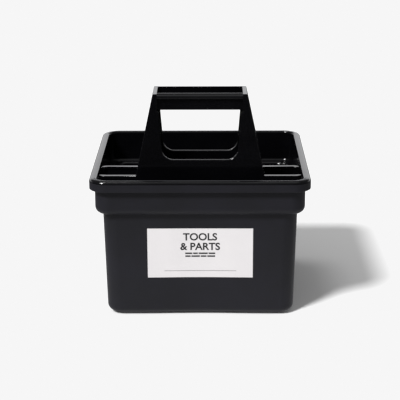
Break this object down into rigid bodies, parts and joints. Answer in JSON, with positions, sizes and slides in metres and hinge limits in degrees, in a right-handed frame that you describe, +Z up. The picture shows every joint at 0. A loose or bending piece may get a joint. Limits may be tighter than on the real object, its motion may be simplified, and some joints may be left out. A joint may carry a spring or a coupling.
{
  "type": "tool storage caddy",
  "caption": "Black plastic desktop caddy: tapered box with a turned-down rim, and a lift-out insert that carries a trapezoid handle and a pocket each side.",
  "frame": {"origin": "centre of the base, on the surface that the caddy stands on", "axes": "+X to the right seen from the labelled front, +Y from the labelled front to the back, +Z up"},
  "size_m": [0.158, 0.152, 0.1626],
  "materials": {
    "box_plastic": "fine matte outside, glossy inside and on the rim's top",
    "insert_plastic": "polished black",
    "label_paper": "smooth coated paper, printed black"
  },
  "bodies": {
    "box": {"storage_box": "box_plastic", "front_label": "label_paper"},
    "insert": {"handle_front_plate": "insert_plastic", "handle_back_plate": "insert_plastic", "handle_left_side": "insert_plastic", "handle_right_side": "insert_plastic", "grip_trough": "insert_plastic", "left_pocket": "insert_plastic", "right_pocket": "insert_plastic"}
  },
  "joints": [
    {"name": "insert_lift", "type": "slide", "parent": "box", "child": "insert", "axis": [0, 0, 1], "range_m": [0, 0.105]}
  ]
}
